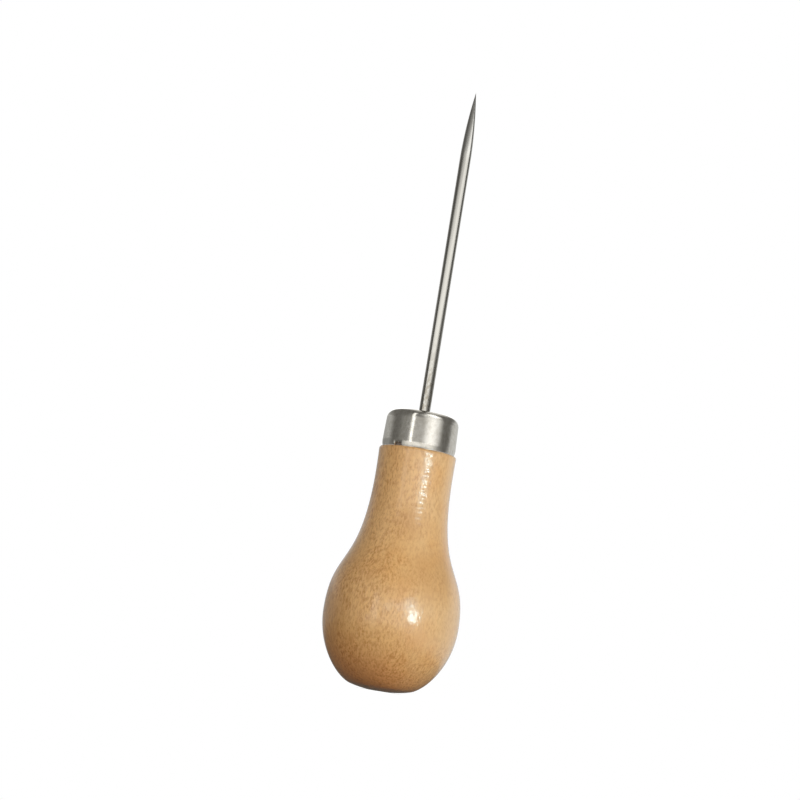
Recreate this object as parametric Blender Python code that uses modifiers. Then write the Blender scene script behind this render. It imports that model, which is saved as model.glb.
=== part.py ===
"""Stitching awl: a turned gourd-shaped wooden handle, a drawn steel ferrule and a round steel blade.

Units are metres. The awl stands on the flat of its butt at the origin, and +Z runs along its axis to
the point. -Y is the front, the side on which the ferrule's stake notch can be seen.
Run it with: blender --background --python part.py
"""

import math

import bpy

# Handle, from the butt upwards
BUTT_FLAT_RADIUS = 0.0035
BELLY_RADIUS = 0.01215
BELLY_HEIGHT = 0.0130  # from the butt to the widest section
FLARE_LENGTH = 0.0259  # from the widest section to the foot of the straight neck
NECK_LENGTH = 0.0040
SHOULDER_EDGE_RADIUS = 0.0005

# Fullness of the handle's curves: the reach of each curve's handle as a share of its own span
NECK_FULLNESS = 0.70
BULB_FULLNESS = 0.42
BELLY_FULLNESS = 0.56
BUTT_FULLNESS = 0.40

# Ferrule
FERRULE_RADIUS = 0.00654  # at the top of its wall, below the rounded edge
FERRULE_TAPER = 0.00006  # how much wider the wall is where the lip begins
FERRULE_HEIGHT = 0.0068
FERRULE_WALL = 0.0005
FERRULE_CORNER_RADIUS = 0.0017
LIP_FLARE = 0.00006
LIP_HEIGHT = 0.0006
SHOULDER_STEP = 0.00032  # how far the wooden neck stands proud of the lip
NOTCH_RADIUS = 0.0007
NOTCH_ANGLE = math.radians(234)  # about +Z from +X: left of the front

# Blade
BLADE_RADIUS = 0.0010
BLADE_REACH = 0.0600  # from the ferrule's top to the point
POINT_LENGTH = 0.0117
POINT_BELLY = 0.00019  # how far the ground point swells past a straight cone, at half its length
TANG_LENGTH = 0.0300  # from the ferrule's top into the handle
TANG_CHAMFER = 0.0003
DRILL_POINT_ANGLE = math.radians(118)

# Clearance wherever one piece seats on or passes through another
FIT_GAP = 0.0003

# Facets
TURNED_SEGMENTS = 48
BLADE_SEGMENTS = 24
NOTCH_SEGMENTS = 24
ARC_STEPS = 5
CURVE_STEPS = 13
POINT_STEPS = 8
SHARP_ANGLE = math.radians(35)
MERGE_DISTANCE = 0.000001

# Places that several pieces share
NECK_FOOT_HEIGHT = BELLY_HEIGHT + FLARE_LENGTH
SHOULDER_HEIGHT = NECK_FOOT_HEIGHT + NECK_LENGTH
FERRULE_FOOT_RADIUS = FERRULE_RADIUS + FERRULE_TAPER
LIP_RADIUS = FERRULE_FOOT_RADIUS + LIP_FLARE
NECK_RADIUS = LIP_RADIUS + SHOULDER_STEP
FERRULE_SEAT_HEIGHT = SHOULDER_HEIGHT + FIT_GAP
FERRULE_TOP_HEIGHT = FERRULE_SEAT_HEIGHT + FERRULE_HEIGHT
BLADE_HOLE_RADIUS = BLADE_RADIUS + FIT_GAP


def clear_scene():
    for obj in list(bpy.data.objects):
        bpy.data.objects.remove(obj, do_unlink=True)


def new_collection(name):
    collection = bpy.data.collections.new(name)
    bpy.context.scene.collection.children.link(collection)
    return collection


def new_material(name, color, roughness, metallic):
    """A Principled material; color is linear RGB."""
    material = bpy.data.materials.new(name)
    material.use_nodes = True
    shader = material.node_tree.nodes["Principled BSDF"]
    shader.inputs["Base Color"].default_value = (*color, 1.0)
    shader.inputs["Roughness"].default_value = roughness
    shader.inputs["Metallic"].default_value = metallic
    return material


def outer_corner(radius, height, edge_radius):
    """Points of a rounded top edge, from its top face round to its side; one point if it is sharp."""
    if edge_radius <= MERGE_DISTANCE:
        return [(radius, height)]
    points = []
    for step in range(ARC_STEPS + 1):
        angle = math.pi / 2 * step / ARC_STEPS
        across = radius - edge_radius + edge_radius * math.sin(angle)
        up = height - edge_radius + edge_radius * math.cos(angle)
        points.append((across, up))
    return points


def curve(start, start_handle, end_handle, end):
    """Points of a cubic Bezier curve, both ends included."""
    points = []
    for step in range(CURVE_STEPS + 1):
        t = step / CURVE_STEPS
        weights = ((1 - t) ** 3, 3 * t * (1 - t) ** 2, 3 * t**2 * (1 - t), t**3)
        controls = (start, start_handle, end_handle, end)
        across = sum(weight * control[0] for weight, control in zip(weights, controls))
        up = sum(weight * control[1] for weight, control in zip(weights, controls))
        points.append((across, up))
    return points


def turned(name, outline, closed, segments, material, collection):
    """A solid turned about Z. The outline's (radius, height) points run down its outer side."""
    count = len(outline)
    edges = [(i, i + 1) for i in range(count - 1)]
    if closed:
        edges.append((count - 1, 0))
    profile = bpy.data.meshes.new(name + "_outline")
    profile.from_pydata([(radius, 0.0, height) for radius, height in outline], edges, [])
    lathe = bpy.data.objects.new(name + "_lathe", profile)
    collection.objects.link(lathe)
    screw = lathe.modifiers.new("turning", "SCREW")
    screw.axis = "Z"
    screw.angle = math.tau
    screw.steps = segments
    screw.render_steps = segments
    screw.use_merge_vertices = True
    screw.merge_threshold = MERGE_DISTANCE

    graph = bpy.context.evaluated_depsgraph_get()
    mesh = bpy.data.meshes.new_from_object(lathe.evaluated_get(graph))
    bpy.data.objects.remove(lathe)
    bpy.data.meshes.remove(profile)
    mesh.name = name
    mesh.shade_smooth()
    mesh.set_sharp_from_angle(angle=SHARP_ANGLE)
    mesh.materials.append(material)
    solid = bpy.data.objects.new(name, mesh)
    collection.objects.link(solid)
    return solid


def handle_outline():
    """Bore, tenon, shoulder, neck, bulb and butt, in heights above the butt."""
    bore_foot = FERRULE_TOP_HEIGHT - TANG_LENGTH - FIT_GAP
    bore_drill_point = BLADE_HOLE_RADIUS / math.tan(DRILL_POINT_ANGLE / 2)
    tenon_radius = FERRULE_RADIUS - FERRULE_WALL - FIT_GAP
    tenon_top = FERRULE_TOP_HEIGHT - FERRULE_WALL - FIT_GAP
    tenon_corner = FERRULE_CORNER_RADIUS - FERRULE_WALL - FIT_GAP
    belly_drop = BELLY_HEIGHT * BELLY_FULLNESS
    butt_spread = (BELLY_RADIUS - BUTT_FLAT_RADIUS) * BUTT_FULLNESS

    bore = [
        (0.0, bore_foot - bore_drill_point),
        (BLADE_HOLE_RADIUS, bore_foot),
        (BLADE_HOLE_RADIUS, tenon_top),
    ]
    tenon = outer_corner(tenon_radius, tenon_top, tenon_corner)
    tenon.append((tenon_radius, SHOULDER_HEIGHT))
    shoulder = outer_corner(NECK_RADIUS, SHOULDER_HEIGHT, SHOULDER_EDGE_RADIUS)
    flare = curve(
        (NECK_RADIUS, NECK_FOOT_HEIGHT),
        (NECK_RADIUS, NECK_FOOT_HEIGHT - FLARE_LENGTH * NECK_FULLNESS),
        (BELLY_RADIUS, BELLY_HEIGHT + FLARE_LENGTH * BULB_FULLNESS),
        (BELLY_RADIUS, BELLY_HEIGHT),
    )
    bulb = curve(
        (BELLY_RADIUS, BELLY_HEIGHT),
        (BELLY_RADIUS, BELLY_HEIGHT - belly_drop),
        (BUTT_FLAT_RADIUS + butt_spread, 0.0),
        (BUTT_FLAT_RADIUS, 0.0),
    )
    return bore + tenon + shoulder + flare + bulb[1:] + [(0.0, 0.0)]


def ferrule_outline():
    """The cup's wall as a closed loop, in heights above its mouth."""
    inner_radius = FERRULE_RADIUS - FERRULE_WALL
    ceiling = FERRULE_HEIGHT - FERRULE_WALL
    inner_corner = FERRULE_CORNER_RADIUS - FERRULE_WALL

    outside = [(BLADE_HOLE_RADIUS, FERRULE_HEIGHT)]
    outside += outer_corner(FERRULE_RADIUS, FERRULE_HEIGHT, FERRULE_CORNER_RADIUS)
    outside += [(FERRULE_FOOT_RADIUS, LIP_HEIGHT), (LIP_RADIUS, 0.0)]
    inside = [(BLADE_HOLE_RADIUS, ceiling)]
    inside += outer_corner(inner_radius, ceiling, inner_corner)
    inside += [(FERRULE_FOOT_RADIUS - FERRULE_WALL, LIP_HEIGHT), (LIP_RADIUS - FERRULE_WALL, 0.0)]
    return outside + inside[::-1]


def blade_outline():
    """The point, shank and tang, in heights above the ferrule's top."""
    outline = []
    for step in range(POINT_STEPS + 1):
        share = step / POINT_STEPS
        swell = POINT_BELLY * 4 * share * (1 - share)
        outline.append((BLADE_RADIUS * share + swell, BLADE_REACH - POINT_LENGTH * share))
    outline += [
        (BLADE_RADIUS, TANG_CHAMFER - TANG_LENGTH),
        (BLADE_RADIUS - TANG_CHAMFER, -TANG_LENGTH),
        (0.0, -TANG_LENGTH),
    ]
    return outline


def cut_notch(ferrule, cutters):
    """Cuts the half-round stake notch up into the ferrule's rim."""
    reach = FERRULE_WALL + FERRULE_TAPER + LIP_FLARE
    middle = FERRULE_RADIUS - FERRULE_WALL / 2
    bpy.ops.mesh.primitive_cylinder_add(
        vertices=NOTCH_SEGMENTS, radius=NOTCH_RADIUS, depth=4 * reach
    )
    cutter = bpy.context.object
    cutter.name = "notch_cutter"
    cutter.rotation_euler = (0.0, math.pi / 2, NOTCH_ANGLE)
    cutter.location = (
        middle * math.cos(NOTCH_ANGLE),
        middle * math.sin(NOTCH_ANGLE),
        FERRULE_SEAT_HEIGHT,
    )
    for collection in list(cutter.users_collection):
        collection.objects.unlink(cutter)
    cutters.objects.link(cutter)
    cutter.hide_render = True
    cutter.display_type = "WIRE"
    notch = ferrule.modifiers.new("stake_notch", "BOOLEAN")
    notch.operation = "DIFFERENCE"
    notch.solver = "EXACT"
    notch.object = cutter


def main():
    clear_scene()
    parts = new_collection("stitching_awl")
    cutters = new_collection("cutters")
    wood = new_material("lacquered_wood", (0.55, 0.31, 0.13), 0.30, 0.0)
    plated_steel = new_material("ferrule_steel", (0.60, 0.60, 0.59), 0.20, 1.0)
    blade_steel = new_material("blade_steel", (0.52, 0.52, 0.51), 0.28, 1.0)

    awl = bpy.data.objects.new("awl_axis", None)
    parts.objects.link(awl)
    handle = turned("handle", handle_outline(), False, TURNED_SEGMENTS, wood, parts)
    ferrule = turned("ferrule", ferrule_outline(), True, TURNED_SEGMENTS, plated_steel, parts)
    blade = turned("blade", blade_outline(), False, BLADE_SEGMENTS, blade_steel, parts)
    ferrule.location.z = FERRULE_SEAT_HEIGHT
    blade.location.z = FERRULE_TOP_HEIGHT
    cut_notch(ferrule, cutters)
    for piece in (handle, ferrule, blade):
        piece.parent = awl


main()
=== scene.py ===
"""Stitching awl: finished surfaces, studio and camera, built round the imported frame.

Units are metres, in the frame's own axes: the awl stands on its butt at the origin, +Z runs along
it to the point, and -Y is the front that the camera sees. Materials count places in millimetres.
"""

import math
from typing import NamedTuple

import bpy
from mathutils import Matrix, Quaternion, Vector, noise


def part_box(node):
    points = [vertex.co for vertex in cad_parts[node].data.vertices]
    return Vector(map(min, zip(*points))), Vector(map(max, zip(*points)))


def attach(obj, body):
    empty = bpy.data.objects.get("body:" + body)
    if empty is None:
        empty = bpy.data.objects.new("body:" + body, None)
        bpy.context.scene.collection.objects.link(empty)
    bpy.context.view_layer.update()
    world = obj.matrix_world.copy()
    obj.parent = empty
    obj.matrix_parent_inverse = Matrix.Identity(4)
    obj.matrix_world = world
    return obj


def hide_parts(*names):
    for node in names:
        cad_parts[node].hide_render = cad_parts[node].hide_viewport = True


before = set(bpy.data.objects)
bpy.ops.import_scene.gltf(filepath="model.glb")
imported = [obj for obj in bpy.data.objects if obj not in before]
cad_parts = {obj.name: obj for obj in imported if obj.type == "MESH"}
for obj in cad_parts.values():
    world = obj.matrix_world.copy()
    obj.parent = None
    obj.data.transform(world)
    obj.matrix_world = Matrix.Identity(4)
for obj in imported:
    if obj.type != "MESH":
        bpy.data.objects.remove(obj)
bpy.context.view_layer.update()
HANDLE_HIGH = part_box("handle")[1]
FERRULE_LOW, FERRULE_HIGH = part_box("ferrule")
BLADE_LOW, BLADE_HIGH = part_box("blade")

MM = 0.001

# Places taken from the frame
BELLY_RADIUS = HANDLE_HIGH.x
TENON_TOP = HANDLE_HIGH.z
RIM_HEIGHT = FERRULE_LOW.z
LIP_RADIUS = FERRULE_HIGH.x
FERRULE_TOP = FERRULE_HIGH.z
BLADE_RADIUS = BLADE_HIGH.x
POINT_HEIGHT = BLADE_HIGH.z
TANG_FOOT = BLADE_LOW.z

# Fits between the finished pieces
SEAT_GAP = 0.04 * MM
HOLE_GAP = 0.03 * MM

# Handle
BUTT_FLAT_RADIUS = 1.0 * MM
BUTT_EDGE_RADIUS = 5.4 * MM  # where the shallow crown of the butt turns up into the bulb
BUTT_RISE = 0.62 * MM
BELLY_HEIGHT = 13.0 * MM
FLARE_LENGTH = 25.9 * MM
SHOULDER_STEP = 0.32 * MM
SHOULDER_EDGE_RADIUS = 0.5 * MM
WAIST_DEPTH = 0.07 * MM  # how much slimmer the neck gets towards the foot of its straight part
NECK_FULLNESS = 0.70
BULB_FULLNESS = 0.42
BELLY_FULLNESS = 0.53
BUTT_FULLNESS = 0.37
HAND_WAVE_DEPTH = 0.03 * MM  # how uneven the hand-sanded surface is
HAND_WAVE_LENGTH = 5.0 * MM
HAND_WAVE_STRETCH = 0.8  # heights count this much, so that the waves run along the handle
SHOULDER_HEIGHT = RIM_HEIGHT - SEAT_GAP
NECK_RADIUS = LIP_RADIUS + SHOULDER_STEP
WAIST_RADIUS = NECK_RADIUS - WAIST_DEPTH
NECK_TOP = SHOULDER_HEIGHT - SHOULDER_EDGE_RADIUS
NECK_FOOT = BELLY_HEIGHT + FLARE_LENGTH

# Ferrule
FERRULE_TAPER = 0.12 * MM  # how much wider the wall is where the mouth begins to roll in
LIP_HEIGHT = 1.1 * MM
LIP_ROLL = 0.18 * MM  # how far the mouth is rolled in at the rim
FERRULE_WALL = 0.5 * MM
FERRULE_CORNER_RADIUS = 1.7 * MM
NOTCH_HALF_WIDTH = 0.85 * MM
NOTCH_HEIGHT = 0.6 * MM
NOTCH_ANGLE = math.radians(234)
NOTCH_FADE_HEIGHT = 1.6 * MM  # above the rim, where the wall no longer follows the notch
NOTCH_CLEARANCE = 1.05  # even columns stay this many half widths away from the notch's middle
FERRULE_RADIUS = LIP_RADIUS - FERRULE_TAPER

# Blade
POINT_LENGTH = 11.7 * MM
POINT_BELLY = 0.19 * MM
POINT_CROWDING = 1.5  # rings crowd towards the tip by this power
TANG_CHAMFER = 0.3 * MM

# Mesh fineness
TURNED_COLUMNS = 192
NOTCH_COLUMNS = 24
BLADE_COLUMNS = 64
CURVE_STEPS = 64
CORNER_STEPS = 12
CROWN_STEPS = 16
CAP_STEPS = 6
WALL_STEPS = 16
POINT_STEPS = 32
SHANK_STEPS = 48
SHARP_ANGLE = math.radians(35)

# Warmer patches of the wood's figure, and painted shade at the bulb's lower left: across, up,
# reach across and reach up in millimetres, then how strong each one is
FIGURE_AND_SHADE = (
    (0.3, 29.8, 4.5, 4.5, 0.8),
    (6.0, 21.0, 7.0, 7.0, 0.6),
    # painted shade along the bulb's lower left edge
    (-10.4, 9.0, 4.0, 11.0, 0.9),
)

# Grain of the wood, in features per millimetre along X, Y and Z
BLOTCH_GRAIN = (0.12, 0.12, 0.09)
STREAK_GRAIN = (0.9, 0.9, 0.10)
PATCH_GRAIN = (0.28, 0.28, 0.20)
FIBRE_GRAIN = (2.8, 2.8, 1.2)
CROWD_GRAIN = (0.16, 0.16, 0.12)
PORE_GRAIN = (2.0, 2.0, 0.60)
HANDLING_GRAIN = (0.9, 0.9, 0.7)
RIPPLE_GRAIN = (2.0, 2.0, 1.4)
TURNING_GRAIN = (0.12, 0.12, 2.0)
WOOD_RELIEF = 0.045 * MM
LACQUER_PEEL = 0.050 * MM
TURNING_DEPTH = 0.085 * MM

# Grain of the steel, counted in the same way
PLATING_GRAIN = (1.6, 1.6, 1.2)
SMUDGE_GRAIN = (0.25, 0.25, 0.2)
SCUFF_GRAIN = (0.5, 0.5, 9.0)
DIE_LINE_GRAIN = (7.0, 7.0, 0.10)
STAIN_GRAIN = (2.6, 2.6, 1.3)
GRINDING_GRAIN = (1.2, 1.2, 14.0)
STEEL_RELIEF = 0.004 * MM


def arc(centre, radius, start, end, steps):
    """(radius, height) points of an arc about centre; angles in degrees from outwards."""
    points = []
    for step in range(steps + 1):
        angle = math.radians(start + (end - start) * step / steps)
        points.append((centre[0] + radius * math.cos(angle), centre[1] + radius * math.sin(angle)))
    return points


def curve(start, start_handle, end_handle, end, steps):
    """(radius, height) points of a cubic Bezier curve, both ends included."""
    points = []
    for step in range(steps + 1):
        t = step / steps
        weights = ((1 - t) ** 3, 3 * t * (1 - t) ** 2, 3 * t**2 * (1 - t), t**3)
        controls = (start, start_handle, end_handle, end)
        across = sum(weight * control[0] for weight, control in zip(weights, controls))
        up = sum(weight * control[1] for weight, control in zip(weights, controls))
        points.append((across, up))
    return points


def line(start, end, steps):
    """(radius, height) points from start towards end, the end itself left out."""
    points = []
    for step in range(steps):
        t = step / steps
        points.append((start[0] + (end[0] - start[0]) * t, start[1] + (end[1] - start[1]) * t))
    return points


def turned(name, outline, angles, closed, place):
    """A mesh turned about Z from (radius, height) points that run down its outer side.

    place(radius, height, angle) gives the final position of each point.
    """
    vertices = []
    rings = []
    for radius, height in outline:
        if radius == 0.0:
            rings.append([len(vertices)] * len(angles))
            vertices.append((0.0, 0.0, height))
            continue
        rings.append(list(range(len(vertices), len(vertices) + len(angles))))
        for angle in angles:
            vertices.append(place(radius, height, angle))

    faces = []
    pairs = list(zip(rings, rings[1:]))
    if closed:
        pairs.append((rings[-1], rings[0]))
    for upper, lower in pairs:
        for column in range(len(angles)):
            following = (column + 1) % len(angles)
            corners = (upper[column], lower[column], lower[following], upper[following])
            faces.append(tuple(dict.fromkeys(corners)))

    mesh = bpy.data.meshes.new(name)
    mesh.from_pydata(vertices, [], faces)
    mesh.shade_smooth()
    mesh.set_sharp_from_angle(angle=SHARP_ANGLE)
    piece = bpy.data.objects.new(name, mesh)
    bpy.context.scene.collection.objects.link(piece)
    return piece


def as_drawn(radius, height, angle):
    return radius * math.cos(angle), radius * math.sin(angle), height


def even_angles(count):
    return [math.tau * column / count for column in range(count)]


def bore_outline():
    """The blind bore and the tenon round it, down to the shoulder."""
    radius = FERRULE_RADIUS - FERRULE_WALL - SEAT_GAP
    corner = FERRULE_CORNER_RADIUS - FERRULE_WALL - SEAT_GAP
    bore_radius = BLADE_RADIUS + HOLE_GAP
    bore_foot = TANG_FOOT - SEAT_GAP
    bore = [(0.0, bore_foot), (bore_radius, bore_foot), (bore_radius, TENON_TOP)]
    tenon = arc((radius - corner, TENON_TOP - corner), corner, 90, 0, CORNER_STEPS)
    return bore + tenon + [(radius, SHOULDER_HEIGHT)]


def neck_outline():
    """The rounded shoulder, the slightly waisted neck and the flare down to the belly."""
    third = (NECK_TOP - NECK_FOOT) / 3
    edge_centre = (NECK_RADIUS - SHOULDER_EDGE_RADIUS, NECK_TOP)
    edge = arc(edge_centre, SHOULDER_EDGE_RADIUS, 90, 0, CORNER_STEPS)
    neck = curve(
        (NECK_RADIUS, NECK_TOP),
        (NECK_RADIUS - WAIST_DEPTH * 2 / 3, NECK_TOP - third),
        (WAIST_RADIUS, NECK_FOOT + third),
        (WAIST_RADIUS, NECK_FOOT),
        CORNER_STEPS,
    )
    flare = curve(
        (WAIST_RADIUS, NECK_FOOT),
        (WAIST_RADIUS, NECK_FOOT - FLARE_LENGTH * NECK_FULLNESS),
        (BELLY_RADIUS, BELLY_HEIGHT + FLARE_LENGTH * BULB_FULLNESS),
        (BELLY_RADIUS, BELLY_HEIGHT),
        CURVE_STEPS,
    )
    return edge + neck[1:] + flare[1:]


def bulb_outline():
    """The bulb below the belly and the shallow crown of the butt."""
    spread = (BELLY_RADIUS - BUTT_EDGE_RADIUS) * BUTT_FULLNESS
    slope = 2 * BUTT_RISE / (BUTT_EDGE_RADIUS - BUTT_FLAT_RADIUS)
    bulb = curve(
        (BELLY_RADIUS, BELLY_HEIGHT),
        (BELLY_RADIUS, BELLY_HEIGHT * (1 - BELLY_FULLNESS)),
        (BUTT_EDGE_RADIUS + spread, BUTT_RISE + spread * slope),
        (BUTT_EDGE_RADIUS, BUTT_RISE),
        CURVE_STEPS,
    )
    crown = []
    for step in range(1, CROWN_STEPS + 1):
        share = 1 - step / CROWN_STEPS
        radius = BUTT_FLAT_RADIUS + (BUTT_EDGE_RADIUS - BUTT_FLAT_RADIUS) * share
        crown.append((radius, BUTT_RISE * share**2))
    return bulb[1:] + crown + [(0.0, 0.0)]


def hand_finished(radius, height, angle):
    """Draws the handle's outer side in by a little, unevenly, as sanding by hand leaves it."""
    across = radius * math.cos(angle)
    spot = Vector((across, radius * math.sin(angle), height * HAND_WAVE_STRETCH))
    unevenness = 0.5 + 0.5 * noise.noise(spot / HAND_WAVE_LENGTH)
    settled = min(1.0, height / HAND_WAVE_LENGTH)
    return as_drawn(radius - HAND_WAVE_DEPTH * unevenness * settled, height, angle)


def ferrule_outline():
    """The cup's wall as a closed loop from its blade hole over the outside and back inside."""
    hole_radius = BLADE_RADIUS + HOLE_GAP
    inner_radius = FERRULE_RADIUS - FERRULE_WALL
    inner_corner = FERRULE_CORNER_RADIUS - FERRULE_WALL
    wall_top = FERRULE_TOP - FERRULE_CORNER_RADIUS
    corner_centre = (FERRULE_RADIUS - FERRULE_CORNER_RADIUS, wall_top)
    lip_top = RIM_HEIGHT + LIP_HEIGHT
    roll_radius = (LIP_HEIGHT**2 + LIP_ROLL**2) / (2 * LIP_ROLL)
    roll_angle = math.degrees(math.asin(LIP_HEIGHT / roll_radius))

    top = line((hole_radius, FERRULE_TOP), (corner_centre[0], FERRULE_TOP), CAP_STEPS)
    corner = arc(corner_centre, FERRULE_CORNER_RADIUS, 90, 0, 2 * CORNER_STEPS)
    wall = line((FERRULE_RADIUS, wall_top), (LIP_RADIUS, lip_top), WALL_STEPS)[1:]
    lip = arc((LIP_RADIUS - roll_radius, lip_top), roll_radius, 0, -roll_angle, CORNER_STEPS)
    inside = line((inner_radius, RIM_HEIGHT), (inner_radius, wall_top), WALL_STEPS)
    inside += arc(corner_centre, inner_corner, 0, 90, CORNER_STEPS)
    inside.append((hole_radius, FERRULE_TOP - FERRULE_WALL))
    return top + corner + wall + lip + inside


def ferrule_angles():
    """Even columns, with closer ones that follow the arched notch."""
    half_width = NOTCH_HALF_WIDTH / FERRULE_RADIUS
    angles = []
    for angle in even_angles(TURNED_COLUMNS):
        if abs(angle - NOTCH_ANGLE) > half_width * NOTCH_CLEARANCE:
            angles.append(angle)
    for column in range(NOTCH_COLUMNS + 1):
        turn = math.pi * (column / NOTCH_COLUMNS - 0.5)
        angles.append(NOTCH_ANGLE + half_width * math.sin(turn))
    return sorted(angles)


def notched(radius, height, angle):
    """Lifts the lower wall over the arched notch."""
    across = (angle - NOTCH_ANGLE) * FERRULE_RADIUS
    lift = NOTCH_HEIGHT * math.sqrt(max(0.0, 1.0 - (across / NOTCH_HALF_WIDTH) ** 2))
    above_rim = height - RIM_HEIGHT
    if lift > 0.0 and above_rim < NOTCH_FADE_HEIGHT:
        height += lift * (1 - above_rim / NOTCH_FADE_HEIGHT)
    return as_drawn(radius, height, angle)


def blade_outline():
    """The ground point, the shank and the hidden tang."""
    outline = []
    for step in range(POINT_STEPS + 1):
        share = (step / POINT_STEPS) ** POINT_CROWDING
        swell = POINT_BELLY * 4 * share * (1 - share)
        outline.append((BLADE_RADIUS * share + swell, POINT_HEIGHT - POINT_LENGTH * share))
    shank_top = (BLADE_RADIUS, POINT_HEIGHT - POINT_LENGTH)
    shank_foot = (BLADE_RADIUS, TANG_FOOT + TANG_CHAMFER)
    outline += line(shank_top, shank_foot, SHANK_STEPS)[1:]
    outline += [shank_foot, (BLADE_RADIUS - TANG_CHAMFER, TANG_FOOT), (0.0, TANG_FOOT)]
    return outline


class Shader:
    """A node tree under construction. Inputs take plain values or other nodes' sockets."""

    def __init__(self, tree):
        self.tree = tree

    def add(self, kind, inputs, **settings):
        node = self.tree.nodes.new(kind)
        for setting, value in settings.items():
            setattr(node, setting, value)
        for key, value in inputs.items():
            self.join(node.inputs[key], value)
        return node

    def join(self, socket, value):
        if isinstance(value, bpy.types.NodeSocket):
            self.tree.links.new(value, socket)
        else:
            socket.default_value = value

    def place(self, per_mm=(1.0, 1.0, 1.0)):
        """Object coordinates, counted in features per millimetre along X, Y and Z."""
        coordinates = self.add("ShaderNodeTexCoord", {})
        scale = tuple(count / MM for count in per_mm)
        mapping = self.add(
            "ShaderNodeMapping", {"Vector": coordinates.outputs["Object"], "Scale": scale}
        )
        return mapping.outputs["Vector"]

    def parts(self, vector):
        """The X, Y and Z outputs of a vector."""
        return self.add("ShaderNodeSeparateXYZ", {0: vector}).outputs

    def length(self, vector):
        return self.add("ShaderNodeVectorMath", {0: vector}, operation="LENGTH").outputs["Value"]

    def grain(self, per_mm, detail=2.0, roughness=0.5):
        """Noise from 0 to 1 with features of that many per millimetre along X, Y and Z."""
        node = self.add(
            "ShaderNodeTexNoise",
            {
                "Vector": self.place(per_mm),
                "Scale": 1.0,
                "Detail": detail,
                "Roughness": roughness,
            },
        )
        return node.outputs["Fac"]

    def cells(self, per_mm):
        """Distance to the nearest of a scatter of points, that many per millimetre."""
        node = self.add("ShaderNodeTexVoronoi", {"Vector": self.place(per_mm), "Scale": 1.0})
        return node.outputs["Distance"]

    def remap(self, value, low, high, to_low=0.0, to_high=1.0):
        """Smoothly takes low..high to to_low..to_high, held at both ends."""
        node = self.add(
            "ShaderNodeMapRange",
            {
                "Value": value,
                "From Min": low,
                "From Max": high,
                "To Min": to_low,
                "To Max": to_high,
            },
            interpolation_type="SMOOTHSTEP",
        )
        return node.outputs["Result"]

    def maths(self, operation, first, second=0.0, third=0.0):
        node = self.add("ShaderNodeMath", {0: first, 1: second, 2: third}, operation=operation)
        return node.outputs["Value"]

    def times(self, first, second):
        return self.maths("MULTIPLY", first, second)

    def blend(self, factor, first, second, kind="MIX"):
        """Colour first mixed with second by factor."""
        node = self.tree.nodes.new("ShaderNodeMix")
        node.data_type = "RGBA"
        node.blend_type = kind
        for socket, value in {0: factor, 6: first, 7: second}.items():
            if isinstance(value, tuple):
                value = (*value, 1.0)
            self.join(node.inputs[socket], value)
        return node.outputs[2]

    def bump(self, height, distance, under=None):
        inputs = {"Height": height, "Distance": distance, "Strength": 1.0}
        if under is not None:
            inputs["Normal"] = under
        return self.add("ShaderNodeBump", inputs).outputs["Normal"]


def new_material(name):
    """A node material, its builder and its Principled shader."""
    material = bpy.data.materials.new(name)
    material.use_nodes = True
    principled = material.node_tree.nodes["Principled BSDF"]
    return material, Shader(material.node_tree), principled


def wood_ground(shader, across, height):
    """Plain wood with blotches and pale streaks, deeper on the bulb's left and paler to the right.

    These heartwood and sapwood tones also paint the shade on the unlit left and the sheen of the lit
    side.
    """
    heart_and_shade = (0.56, 0.310, 0.108)
    honey = (0.64, 0.380, 0.150)
    sap_and_sheen = (0.63, 0.415, 0.200)
    warm = (0.60, 0.325, 0.110)
    pale = (0.70, 0.440, 0.190)

    # Painted shade: the bulb's left is deepened. Painted sheen: the right is paled, most of all on the
    # neck.
    on_left = shader.remap(across, -12.0, -4.0, 1.0, 0.0)
    on_bulb = shader.remap(height, 20.0, 32.0, 1.0, 0.0)
    colour = shader.blend(shader.times(on_left, on_bulb), honey, heart_and_shade)
    spread = shader.times(across, shader.remap(height, 20.0, 38.0, 1.0, 1.7))
    colour = shader.blend(shader.remap(spread, -1.0, 8.0), colour, sap_and_sheen)
    blotches = shader.remap(shader.grain(BLOTCH_GRAIN, detail=3.0), 0.44, 0.70, 0.0, 0.8)
    colour = shader.blend(blotches, colour, warm)
    streaks = shader.grain(STREAK_GRAIN, detail=4.0, roughness=0.6)
    streaks = shader.remap(streaks, 0.40, 0.70)
    return shader.blend(shader.times(streaks, 0.4), colour, pale)


def wood_figure(shader, across, height, colour):
    """Warmer patches and painted shade at the lower left, and the redder end grain of the butt,
    which also paints shade: it reaches higher on the unlit left than on the lit right.
    """
    flame_and_shade = (0.54, 0.300, 0.105)
    end_grain_and_shade = (0.52, 0.220, 0.068)

    for middle, up, reach_across, reach_up, depth in FIGURE_AND_SHADE:
        aside = shader.maths("DIVIDE", shader.maths("SUBTRACT", across, middle), reach_across)
        above = shader.maths("DIVIDE", shader.maths("SUBTRACT", height, up), reach_up)
        offset = shader.add("ShaderNodeCombineXYZ", {"X": aside, "Y": above}).outputs[0]
        patch = shader.remap(shader.length(offset), 0.2, 1.0, depth, 0.0)
        colour = shader.blend(patch, colour, flame_and_shade)
    # Painted shade: the end grain reaches higher on the unlit left and less high on the lit right.
    end_grain_and_shade_reach = shader.maths("MULTIPLY_ADD", shader.maths("ABSOLUTE", across), 0.2, height)
    end_grain_and_shade_reach = shader.maths("MULTIPLY_ADD", across, 0.4, end_grain_and_shade_reach)
    return shader.blend(shader.remap(end_grain_and_shade_reach, 0.0, 10.0, 0.85, 0.0), colour, end_grain_and_shade)


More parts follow.
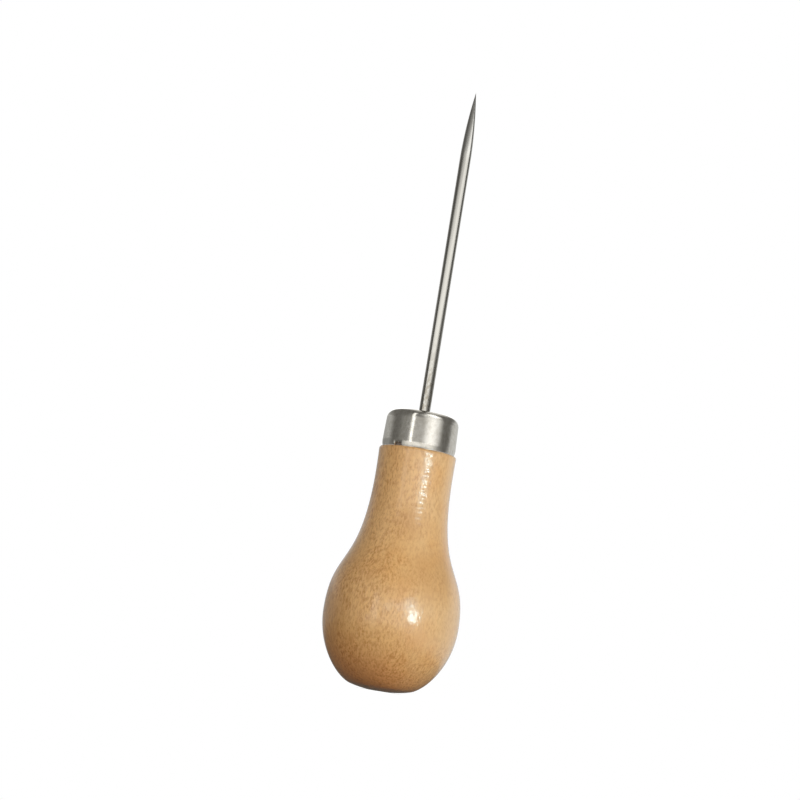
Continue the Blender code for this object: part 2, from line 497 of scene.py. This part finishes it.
def grain_strength_and_shade(shader, across, height):
    """How strongly the grain shows, in patches.

    It is strongest at the left and the butt, which paints the shade that grazing light gives the
    grain's relief there.
    """
    # Painted shade: the grain's contrast grows towards the unlit left and the butt.
    grain_and_shade = shader.remap(across, -8.0, 7.0, 1.0, 0.40)
    grain_and_shade = shader.maths("MAXIMUM", grain_and_shade, shader.remap(height, 5.0, 14.0, 0.9, 0.0))
    patches = shader.remap(shader.grain(PATCH_GRAIN, detail=2.0), 0.34, 0.62, 0.70, 1.3)
    return shader.times(grain_and_shade, patches)


def wood_fibres(shader, fibres, grain_and_shade, colour):
    """Darker furrows and paler ridges of the fibres."""
    furrow = (0.72, 0.60, 0.42)
    ridge = (1.12, 1.15, 1.16)

    furrows = shader.times(shader.remap(fibres, 0.30, 0.56, 0.9, 0.0), grain_and_shade)
    colour = shader.blend(furrows, colour, furrow, "MULTIPLY")
    ridges = shader.times(shader.remap(fibres, 0.44, 0.70), grain_and_shade)
    return shader.blend(ridges, colour, ridge, "MULTIPLY")


def wood_pores(shader, height, grain_and_shade):
    """Short pores that crowd together in places, and more so towards the butt."""
    low = shader.remap(height, 2.0, 20.0, 0.40, 0.0)
    crowd = shader.remap(shader.grain(CROWD_GRAIN, detail=2.0), 0.38, 0.66, 0.10, 0.8)
    crowd = shader.times(shader.maths("ADD", crowd, low), grain_and_shade)
    dashes = shader.remap(shader.cells(PORE_GRAIN), 0.08, 0.22, 1.0, 0.0)
    return shader.times(dashes, crowd)


def wood_joint(shader, height, colour):
    """Painted shade on the tenon, where the notch shows it, and below the ferrule's rim a stain that
    also paints the shade there.
    """
    tenon_shade = (0.16, 0.154, 0.144)
    stained = (0.46, 0.240, 0.095)
    rim = RIM_HEIGHT / MM

    # Painted shade: the tenon is dark grey, and shows only in the notch's recess.
    on_tenon = shader.remap(height, rim - 0.02, rim + 0.08)
    colour = shader.blend(on_tenon, colour, tenon_shade)
    # Partly a handling stain, partly painted shade under the ferrule's rim.
    at_joint = shader.remap(height, rim - 1.4, rim, 0.0, 0.35)
    handling = shader.remap(shader.grain(HANDLING_GRAIN, detail=3.0), 0.35, 0.65, 0.3, 1.0)
    return shader.blend(shader.times(at_joint, handling), colour, stained)


def wood_surfaces(shader, height, pores):
    """Normals of the wood and of the lacquer, which keeps the neck's turning marks."""
    ripple = shader.grain(RIPPLE_GRAIN, detail=2.0)
    sunk = shader.maths("SUBTRACT", ripple, shader.times(pores, 0.2))
    wood = shader.bump(sunk, WOOD_RELIEF)
    lacquer = shader.bump(sunk, LACQUER_PEEL)
    turning = shader.grain(TURNING_GRAIN, detail=2.0)
    turning = shader.times(turning, shader.remap(height, 25.0, 31.0))
    return wood, shader.bump(turning, TURNING_DEPTH, under=lacquer)


def wood_material():
    """Pale honey hardwood with short dark pores, under gloss lacquer."""
    material, shader, principled = new_material("lacquered_hardwood")
    pore = (0.38, 0.180, 0.060)

    place = shader.parts(shader.place())
    across, height = place["X"], place["Z"]
    grain_and_shade = grain_strength_and_shade(shader, across, height)
    fibres = shader.grain(FIBRE_GRAIN, detail=3.0, roughness=0.65)
    pores = wood_pores(shader, height, grain_and_shade)
    wood, lacquer = wood_surfaces(shader, height, pores)

    colour = wood_ground(shader, across, height)
    colour = wood_figure(shader, across, height, colour)
    colour = wood_fibres(shader, fibres, grain_and_shade, colour)
    colour = shader.blend(shader.times(pores, 0.7), colour, pore)
    colour = wood_joint(shader, height, colour)

    shader.join(principled.inputs["Base Color"], colour)
    shader.join(principled.inputs["Roughness"], shader.remap(fibres, 0.2, 0.8, 0.42, 0.58))
    shader.join(principled.inputs["Normal"], wood)
    shader.join(principled.inputs["Coat Normal"], lacquer)
    principled.inputs["Coat Weight"].default_value = 1.0
    principled.inputs["Coat Roughness"].default_value = 0.08
    principled.inputs["Coat IOR"].default_value = 1.6
    principled.inputs["Specular IOR Level"].default_value = 0.4
    return material


def ferrule_material():
    """Bright plating, slightly mottled and scuffed by handling."""
    material, shader, principled = new_material("plated_steel")
    bright = (0.66, 0.64, 0.59)
    dull = (0.56, 0.535, 0.48)

    mottle = shader.grain(PLATING_GRAIN, detail=4.0, roughness=0.6)
    smudges = shader.grain(SMUDGE_GRAIN, detail=3.0)
    scuffs = shader.remap(shader.grain(SCUFF_GRAIN, detail=2.0), 0.60, 0.72)
    colour = shader.blend(shader.remap(mottle, 0.35, 0.70), bright, dull)
    roughness = shader.remap(smudges, 0.35, 0.7, 0.10, 0.18)
    roughness = shader.maths("ADD", roughness, shader.times(scuffs, 0.08))
    relief = shader.maths("ADD", mottle, shader.times(scuffs, 0.4))

    shader.join(principled.inputs["Base Color"], colour)
    shader.join(principled.inputs["Roughness"], roughness)
    shader.join(principled.inputs["Normal"], shader.bump(relief, STEEL_RELIEF))
    principled.inputs["Metallic"].default_value = 1.0
    return material


def blade_material():
    """Drawn steel rod with lengthwise die lines, stained at its foot, and a paler ground point."""
    material, shader, principled = new_material("drawn_steel")
    shank = (0.34, 0.332, 0.306)
    stained = (0.215, 0.198, 0.165)
    ground = (0.43, 0.425, 0.400)
    point_foot = (POINT_HEIGHT - POINT_LENGTH) / MM
    foot = FERRULE_TOP / MM

    height = shader.parts(shader.place())["Z"]
    on_point = shader.remap(height, point_foot - 2.0, point_foot + 1.0)
    near_foot = shader.remap(height, foot + 2.0, foot + 16.0, 1.0, 0.0)
    die_lines = shader.grain(DIE_LINE_GRAIN, detail=3.0)
    grinding = shader.grain(GRINDING_GRAIN, detail=2.0)
    stains = shader.grain(STAIN_GRAIN, detail=4.0, roughness=0.6)
    stains = shader.times(shader.remap(stains, 0.42, 0.62), near_foot)

    colour = shader.blend(stains, shank, stained)
    colour = shader.blend(on_point, colour, ground)
    marks = {0: on_point, 2: die_lines, 3: grinding}
    relief = shader.add("ShaderNodeMix", marks, data_type="FLOAT").outputs[0]
    roughness = shader.remap(die_lines, 0.3, 0.7, 0.11, 0.18)
    roughness = shader.maths("ADD", roughness, shader.times(near_foot, 0.05))

    shader.join(principled.inputs["Base Color"], colour)
    shader.join(principled.inputs["Roughness"], roughness)
    shader.join(principled.inputs["Normal"], shader.bump(relief, STEEL_RELIEF))
    principled.inputs["Metallic"].default_value = 1.0
    return material


def dress(piece, node, material):
    """Puts a finished piece in the place of its CAD node."""
    piece.data.materials.append(material)
    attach(piece, "root")
    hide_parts(node)


def build_awl():
    """Makes the three finished pieces, and returns them by the names of their nodes."""
    handle_outline = bore_outline() + neck_outline() + bulb_outline()
    handle_angles = even_angles(TURNED_COLUMNS)
    handle = turned("turned_handle", handle_outline, handle_angles, False, hand_finished)
    ferrule = turned("drawn_ferrule", ferrule_outline(), ferrule_angles(), True, notched)
    blade = turned("ground_blade", blade_outline(), even_angles(BLADE_COLUMNS), False, as_drawn)
    dress(handle, "handle", wood_material())
    dress(ferrule, "ferrule", ferrule_material())
    dress(blade, "blade", blade_material())
    return {"handle": handle, "ferrule": ferrule, "blade": blade}


# Camera
CAMERA_DISTANCE = 390.0 * MM
CAMERA_HEIGHT = 3.0 * MM
CAMERA_OFFSET = -4.67 * MM
CAMERA_PITCH = math.radians(7.132)
CAMERA_ROLL = math.radians(9.28)  # the awl leans to the right in the photograph
CAMERA_LENS = 98.39
CAMERA_SENSOR = 36.0
CAMERA_CLIP = (0.01, 20.0)

# Floor and room
FLOOR_RADIUS = 3.0
FLOOR_COLUMNS = 96
SHADOW_REACH = 24.0 * MM  # from the awl's axis, where the floor fades to plain white
ROOM_FILL = (1.22, 1.12, 1.0)  # the room's light on the awl, warmer than its reflections
CEILING_SHADE = 0.60  # how much darker the room's light gets overhead
WHITE = (1.0, 1.0, 1.0)
BLACK = (0.0, 0.0, 0.0)


class Lamp(NamedTuple):
    """A soft lamp that faces the awl and fades from its core to its edges."""

    name: str
    azimuth: float  # degrees to the right of the camera's side
    height: float  # of its middle, above the floor
    radiance: float  # of its core
    distance: float = 0.60
    size: tuple = (0.70, 0.40)
    core: tuple = (0.2, 0.2)  # its share of the lamp's width and height
    roll: float = 0.0  # degrees about the line to the awl
    colour: tuple = WHITE
    pieces: tuple = ()  # those whose gloss shows it


LAMP_TARGET = Vector((0.0, 0.0, 0.03))
COOL = (0.62, 0.92, 1.0)  # cooler than the room

# Lamps that light every surface, and that none mirrors
BROAD_LAMPS = (
    Lamp("soft_key", azimuth=20.0, height=0.06, radiance=8.0),
    Lamp("side_key", azimuth=60.0, height=0.06, radiance=6.8),
    Lamp("fill", azimuth=-60.0, height=0.35, radiance=3.2),
    Lamp("back_fill", azimuth=180.0, height=0.25, radiance=5.0),
)

# The bulb's bright spot and the upper part of the neck's streak
KEY = Lamp(
    "key",
    azimuth=35.0,
    height=0.04,
    radiance=15.0,
    distance=0.80,
    size=(0.34, 0.24),
    colour=COOL,
    pieces=("handle",),
)
# A faint band across the bulb, just above its belly
VEIL = Lamp(
    "veil",
    azimuth=15.0,
    height=0.11,
    radiance=2.0,
    size=(1.00, 0.09),
    core=(0.6, 0.3),
    colour=COOL,
    pieces=("handle",),
)
# The ferrule's broad bright side
WINDOW = Lamp(
    "window",
    azimuth=36.0,
    height=0.45,
    radiance=1.18,
    distance=0.80,
    size=(1.30, 2.00),
    core=(0.0, 0.7),
    pieces=("ferrule",),
)
# The same side on the ferrule's rounded top edge
SKYLIGHT = Lamp(
    "skylight",
    azimuth=60.0,
    height=0.75,
    radiance=1.18,
    distance=0.35,
    size=(0.50, 0.70),
    core=(0.2, 0.5),
    pieces=("ferrule",),
)
# The blade's bright middle
STRIP = Lamp(
    "strip",
    azimuth=0.0,
    height=LAMP_TARGET.z,
    radiance=1.85,
    distance=0.25,
    size=(3.20, 1.20),
    core=(0.9, 0.9),
    pieces=("blade",),
)
# The ferrule's narrow bright line
SLIT = Lamp(
    "slit",
    azimuth=-31.4,
    height=0.30,
    radiance=1.7,
    distance=0.80,
    size=(0.17, 2.40),
    core=(0.40, 0.8),
    roll=8.0,
    pieces=("ferrule",),
)
# The lower part of the neck's streak
TAIL = Lamp(
    "tail",
    azimuth=28.0,
    height=0.20,
    radiance=2.8,
    distance=0.80,
    size=(0.40, 0.26),
    colour=COOL,
    pieces=("handle",),
)
# A pale line on the handle's left
SHEEN = Lamp(
    "sheen",
    azimuth=-31.4,
    height=0.03,
    radiance=1.7,
    distance=0.80,
    size=(0.17, 0.60),
    core=(0.40, 0.5),
    roll=-11.5,
    pieces=("handle",),
)
# A bright line on the steel's back
BACK_STRIP = Lamp(
    "back_strip",
    azimuth=180.0,
    height=0.10,
    radiance=1.5,
    distance=0.25,
    size=(0.16, 0.30),
    pieces=("blade", "ferrule"),
)
HIGHLIGHTS = (KEY, VEIL, WINDOW, SKYLIGHT, STRIP, SLIT, TAIL, SHEEN, BACK_STRIP)

# The wedge to which the strip is masked, in metres from the lamp's middle
WEDGE_FOOT = 0.02  # height of its lower edge
WEDGE_FOOT_CLIMB = 0.28  # rise of the lower edge for each metre to the right
WEDGE_FOOT_FADE = (-0.015, 0.025)
WEDGE_TOP = 0.125  # height of its upper edge
WEDGE_TOP_CLIMB = 0.4  # rise of the upper edge for each metre to the right of the middle
WEDGE_TOP_FADE = (-0.05, 0.055)
WEDGE_LEFT_FADE = (-0.52, -0.34)


def build_camera():
    data = bpy.data.cameras.new("camera")
    data.sensor_width = CAMERA_SENSOR
    data.lens = CAMERA_LENS
    data.clip_start, data.clip_end = CAMERA_CLIP
    camera = bpy.data.objects.new("camera", data)
    place = Matrix.Translation((CAMERA_OFFSET, -CAMERA_DISTANCE, CAMERA_HEIGHT))
    pitch = Matrix.Rotation(math.pi / 2 + CAMERA_PITCH, 4, "X")
    roll = Matrix.Rotation(CAMERA_ROLL, 4, "Z")
    camera.matrix_world = place @ (pitch @ roll)
    bpy.context.scene.collection.objects.link(camera)
    bpy.context.scene.camera = camera


def fade_to_edges(data, core):
    """Lets a lamp's light fade from its core to its edges."""
    shader = Shader(data.node_tree)
    spot = shader.add("ShaderNodeNewGeometry", {}).outputs["Parametric"]
    shares = shader.parts(spot)
    strength = 1.0
    for share, full in ((shares["X"], core[0]), (shares["Y"], core[1])):
        aside = shader.maths("ABSOLUTE", shader.maths("SUBTRACT", share, 0.5))
        fade = shader.remap(aside, 0.5 * full, 0.5, 1.0, 0.0)
        strength = shader.times(fade, strength)
    shader.join(data.node_tree.nodes["Emission"].inputs["Strength"], strength)


def softbox(plan):
    """Makes a planned lamp."""
    width, height = plan.size
    data = bpy.data.lights.new(plan.name, "AREA")
    data.shape = "RECTANGLE"
    data.size = width
    data.size_y = height
    data.energy = plan.radiance * math.pi * width * height
    data.color = plan.colour
    data.use_nodes = True
    fade_to_edges(data, plan.core)

    lamp = bpy.data.objects.new(plan.name, data)
    turn = math.radians(plan.azimuth)
    lamp.location = (plan.distance * math.sin(turn), -plan.distance * math.cos(turn), plan.height)
    lamp.rotation_mode = "QUATERNION"
    facing = (LAMP_TARGET - lamp.location).to_track_quat("-Z", "Y")
    lamp.rotation_quaternion = facing @ Quaternion((0.0, 0.0, 1.0), math.radians(plan.roll))
    lamp.visible_camera = False
    bpy.context.scene.collection.objects.link(lamp)
    return lamp


def mask_to_wedge(data):
    """Masks a lamp to a wedge: its lower edge climbs throughout, its upper one on the right half."""
    shader = Shader(data.node_tree)
    strength = data.node_tree.nodes["Emission"].inputs["Strength"]
    spot = shader.add("ShaderNodeNewGeometry", {}).outputs["Parametric"]
    shares = shader.parts(spot)
    right = shader.times(shader.maths("SUBTRACT", shares["X"], 0.5), data.size)
    up = shader.times(shader.maths("SUBTRACT", shares["Y"], 0.5), data.size_y)

    foot = shader.maths("MULTIPLY_ADD", right, WEDGE_FOOT_CLIMB, WEDGE_FOOT)
    over_foot = shader.remap(shader.maths("SUBTRACT", up, foot), *WEDGE_FOOT_FADE)
    right_half = shader.maths("MAXIMUM", right, 0.0)
    top = shader.maths("MULTIPLY_ADD", right_half, WEDGE_TOP_CLIMB, WEDGE_TOP)
    under_top = shader.remap(shader.maths("SUBTRACT", top, up), *WEDGE_TOP_FADE)
    mask = shader.times(over_foot, under_top)
    mask = shader.times(mask, shader.remap(right, *WEDGE_LEFT_FADE))
    faded = strength.links[0].from_socket
    shader.join(strength, shader.times(faded, mask))


def light_only(lamp, pieces):
    """Lets a lamp show in the gloss of some pieces alone, as flags and gobos do in a studio."""
    lamp.visible_diffuse = False
    receivers = bpy.data.collections.new(lamp.name + "_receivers")
    for piece in pieces:
        receivers.objects.link(piece)
    lamp.light_linking.receiver_collection = receivers
    lamp.light_linking.blocker_collection = receivers


def build_lights(pieces):
    """Broad lamps that no surface mirrors, and lamps that only show as highlights."""
    for plan in BROAD_LAMPS:
        softbox(plan).visible_glossy = False
    for plan in HIGHLIGHTS:
        lamp = softbox(plan)
        light_only(lamp, [pieces[node] for node in plan.pieces])
        if plan is STRIP:
            mask_to_wedge(lamp.data)


def build_world():
    """White to the camera; to the awl, a soft grey room that is dark at its sides."""
    world = bpy.data.worlds.new("studio")
    world.use_nodes = True
    bpy.context.scene.world = world
    shader = Shader(world.node_tree)
    background = world.node_tree.nodes["Background"]

    direction = shader.add("ShaderNodeTexCoord", {}).outputs["Generated"]
    path = shader.add("ShaderNodeLightPath", {}).outputs
    colour = shader.blend(
        path["Is Glossy Ray"], room_light(shader, direction), mirrored_room(shader, direction)
    )
    colour = shader.blend(path["Is Camera Ray"], colour, WHITE)
    shader.join(background.inputs["Color"], colour)
    background.inputs["Strength"].default_value = 1.0
    world.cycles.sampling_method = "NONE"


def room_light(shader, direction):
    """The room's light on the awl along a direction: grey in front, dark beside, white behind."""
    beside_grey = (0.21, 0.205, 0.195)
    front_grey = (0.58, 0.57, 0.55)
    behind_white = (0.68, 0.68, 0.67)

    parts = shader.parts(direction)
    front = shader.remap(parts["Y"], -1.0, -0.35, 1.0, 0.0)
    behind = shader.remap(parts["Y"], 0.0, 0.40)
    colour = shader.blend(front, beside_grey, front_grey)
    colour = shader.blend(behind, colour, behind_white)
    colour = shader.blend(1.0, colour, ROOM_FILL, "MULTIPLY")
    overhead = shader.remap(parts["Z"], 0.0, 0.8, 0.0, CEILING_SHADE)
    return shader.blend(overhead, colour, BLACK)


def mirrored_room(shader, direction):
    """The room as gloss shows it: grey in front, dark beside, pale behind and above."""
    dark = (0.19, 0.185, 0.175)
    side_grey = (0.33, 0.325, 0.31)
    front_grey = (0.61, 0.60, 0.58)
    skylight_white = (0.92, 0.91, 0.88)

    parts = shader.parts(direction)
    overhead = shader.remap(parts["Z"], 0.20, 0.60, 1.0, 0.40)
    front = shader.times(shader.remap(parts["Y"], -0.95, -0.68, 1.0, 0.0), overhead)
    beside = shader.times(shader.remap(parts["Y"], -0.50, -0.20, 1.0, 0.0), overhead)
    colour = shader.blend(beside, dark, side_grey)
    colour = shader.blend(front, colour, front_grey)
    sweep, sweep_colour = mirrored_sweep(shader, parts)
    colour = shader.blend(sweep, colour, sweep_colour)

    aside = shader.maths("ABSOLUTE", shader.maths("SUBTRACT", parts["X"], 0.10))
    behind = shader.remap(parts["Y"], 0.15, 0.45)
    skylight = shader.times(shader.remap(aside, 0.12, 0.36, 1.0, 0.0), behind)
    skylight = shader.times(skylight, shader.remap(parts["Z"], 0.50, 0.75))
    return shader.blend(skylight, colour, skylight_white)


def mirrored_sweep(shader, parts):
    """How much of the pale backdrop gloss shows along a direction, and that backdrop's colour."""
    low_left = (0.34, 0.34, 0.33)
    middle_left = (0.62, 0.62, 0.61)
    high_left = (0.40, 0.40, 0.39)
    right = (0.75, 0.75, 0.74)

    setback = shader.remap(parts["Z"], 0.12, 0.20, 0.0, 0.22)
    back = shader.maths("SUBTRACT", parts["Y"], setback)
    below_top = shader.remap(parts["Z"], 0.30, 0.55, 1.0, 0.0)
    share = shader.times(shader.remap(back, 0.00, 0.42), below_top)
    left = shader.blend(shader.remap(parts["Z"], 0.09, 0.16), low_left, middle_left)
    left = shader.blend(shader.remap(parts["Z"], 0.19, 0.28), left, high_left)
    return share, shader.blend(shader.remap(parts["X"], -0.6, 0.6), left, right)


def seen_floor(shader, distance):
    """The floor to the camera: a soft shadow close to the awl, partly painted, and plain white beyond
    it.
    """
    shadow = (0.50, 0.54, 0.60, 1.0)
    white = (*WHITE, 1.0)

    shaded = shader.add("ShaderNodeBsdfDiffuse", {"Color": shadow}).outputs[0]
    # Painted shade: the glow is dimmer close to the awl, darkening the floor round its foot.
    lift = shader.remap(distance, 3.0, 9.0, 0.45, 0.98)
    lifted = shader.add("ShaderNodeEmission", {"Color": white, "Strength": lift}).outputs[0]
    near = shader.add("ShaderNodeAddShader", {0: shaded, 1: lifted}).outputs[0]
    plain = shader.add("ShaderNodeEmission", {"Color": white, "Strength": 1.0}).outputs[0]
    far = shader.remap(distance, 0.3 * SHADOW_REACH / MM, SHADOW_REACH / MM)
    return shader.add("ShaderNodeMixShader", {0: far, 1: near, 2: plain}).outputs[0]


def mirrored_floor(shader, place, distance):
    """The floor in the awl's gloss: white in front, the room's colours beyond, dark underfoot."""
    dark = (0.13, 0.12, 0.10)
    pale = (0.85, 0.84, 0.80)
    front_white = (1.25, 1.23, 1.18)

    normalized = shader.add("ShaderNodeVectorMath", {0: place}, operation="NORMALIZE")
    outward = normalized.outputs["Vector"]
    heading = shader.parts(outward)
    front = shader.remap(heading["Y"], -0.86, -0.45, 1.0, 0.0)
    colour = shader.blend(front, mirrored_room(shader, outward), front_white)
    clear_of_awl = shader.remap(distance, 16.0, 36.0)
    to_right = shader.times(shader.remap(heading["X"], 0.2, 0.8), clear_of_awl)
    ground = shader.blend(to_right, dark, pale)
    underfoot = shader.remap(distance, 20.0, 150.0, 1.0, 0.0)
    colour = shader.blend(underfoot, colour, ground)
    return shader.add("ShaderNodeEmission", {"Color": colour}).outputs[0]


def floor_material():
    """White with a soft shadow to the camera, as mirrored_floor to gloss, and otherwise a dull tan."""
    material, shader, principled = new_material("studio_floor")
    tree = material.node_tree
    tree.nodes.remove(principled)
    tan = (0.40, 0.33, 0.26, 1.0)

    place = shader.place((1.0, 1.0, 0.0))
    distance = shader.length(place)
    path = shader.add("ShaderNodeLightPath", {}).outputs
    felt = shader.add("ShaderNodeBsdfDiffuse", {"Color": tan}).outputs[0]
    mirrored = mirrored_floor(shader, place, distance)
    to_awl = {0: path["Is Glossy Ray"], 1: felt, 2: mirrored}
    surface = shader.add("ShaderNodeMixShader", to_awl).outputs[0]
    to_camera = {0: path["Is Camera Ray"], 1: surface, 2: seen_floor(shader, distance)}
    surface = shader.add("ShaderNodeMixShader", to_camera).outputs[0]
    shader.join(tree.nodes["Material Output"].inputs["Surface"], surface)
    return material


def build_floor():
    rim = []
    for angle in even_angles(FLOOR_COLUMNS):
        rim.append((FLOOR_RADIUS * math.cos(angle), FLOOR_RADIUS * math.sin(angle), 0.0))
    mesh = bpy.data.meshes.new("floor")
    mesh.from_pydata(rim, [], [tuple(range(FLOOR_COLUMNS))])
    mesh.materials.append(floor_material())
    floor = bpy.data.objects.new("floor", mesh)
    bpy.context.scene.collection.objects.link(floor)


PIECES = build_awl()
build_camera()
build_lights(PIECES)
build_world()
build_floor()
bpy.context.scene.view_settings.view_transform = "Standard"

bpy.context.view_layer.update()
